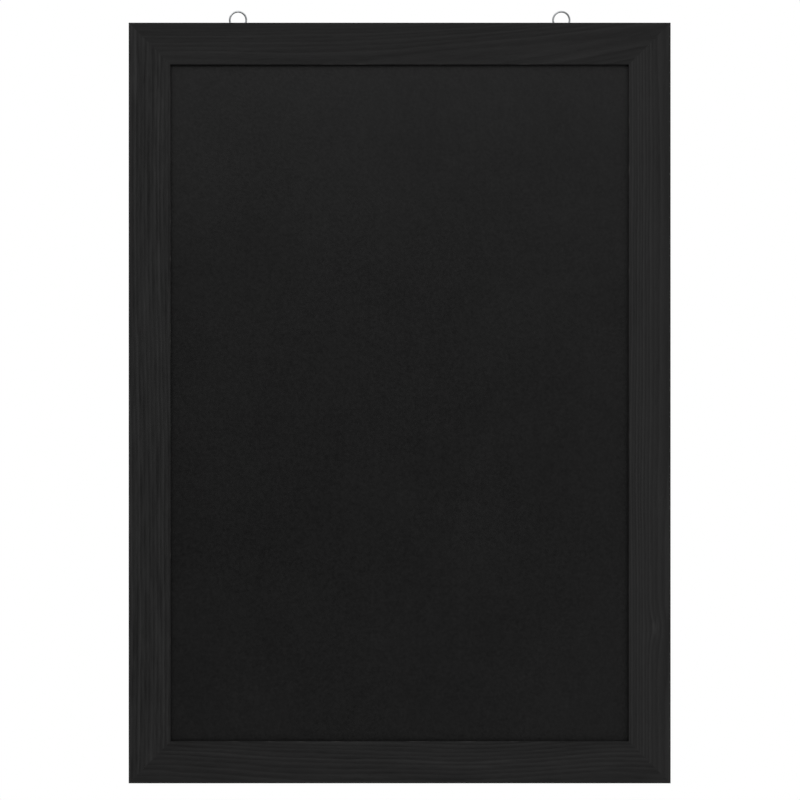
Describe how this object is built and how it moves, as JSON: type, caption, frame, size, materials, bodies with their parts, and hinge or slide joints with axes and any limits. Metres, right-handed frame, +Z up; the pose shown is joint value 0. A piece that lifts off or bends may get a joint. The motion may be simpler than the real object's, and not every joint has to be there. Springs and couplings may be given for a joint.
{
  "type": "wall chalkboard",
  "caption": "Upright wall chalkboard: black coated hardboard in a flat mitred black-stained wood frame, hung from two swinging wire rings on straps behind its top edge.",
  "frame": {"origin": "halfway between the two places where wall hooks bear inside the raised rings, in the plane of the rings", "axes": "+Z up along the board's height, +Y towards the wall, the writing side faces -Y, and +X to the right as seen from the front"},
  "size_m": [0.57, 0.0207, 0.8148],
  "materials": {
    "stained_pine": "pine stained black, satin, grain showing, square arrises just broken",
    "blackboard_panel": "hardboard with a matt, finely textured black writing coating on the front",
    "bright_steel": "bare strip steel",
    "zinc_plated_steel": "bright zinc plate"
  },
  "bodies": {
    "board": {"frame_top_rail": "stained_pine", "frame_bottom_rail": "stained_pine", "frame_left_stile": "stained_pine", "frame_right_stile": "stained_pine", "writing_panel": "blackboard_panel", "v_nail_top_left_1": "bright_steel", "v_nail_top_left_2": "bright_steel", "v_nail_top_right_1": "bright_steel", "v_nail_top_right_2": "bright_steel", "v_nail_bottom_right_1": "bright_steel", "v_nail_bottom_right_2": "bright_steel", "v_nail_bottom_left_1": "bright_steel", "v_nail_bottom_left_2": "bright_steel", "panel_point_top_1": "bright_steel", "panel_point_top_2": "bright_steel", "panel_point_bottom_1": "bright_steel", "panel_point_bottom_2": "bright_steel", "panel_point_left_1": "bright_steel", "panel_point_left_2": "bright_steel", "panel_point_left_3": "bright_steel", "panel_point_right_1": "bright_steel", "panel_point_right_2": "bright_steel", "panel_point_right_3": "bright_steel", "hanger_left_strap": "zinc_plated_steel", "hanger_left_screw": "zinc_plated_steel", "hanger_right_strap": "zinc_plated_steel", "hanger_right_screw": "zinc_plated_steel"},
    "ring_left": {"hanger_left_ring": "zinc_plated_steel"},
    "ring_right": {"hanger_right_ring": "zinc_plated_steel"}
  },
  "joints": [
    {"name": "ring_left_swing", "type": "hinge", "parent": "board", "child": "ring_left", "pos_m": [-0.171, 0, -0.01584], "axis": [-1, 0, 0], "range_deg": [-35, 186]},
    {"name": "ring_right_swing", "type": "hinge", "parent": "board", "child": "ring_right", "pos_m": [0.171, 0, -0.01584], "axis": [-1, 0, 0], "range_deg": [-35, 186]}
  ]
}
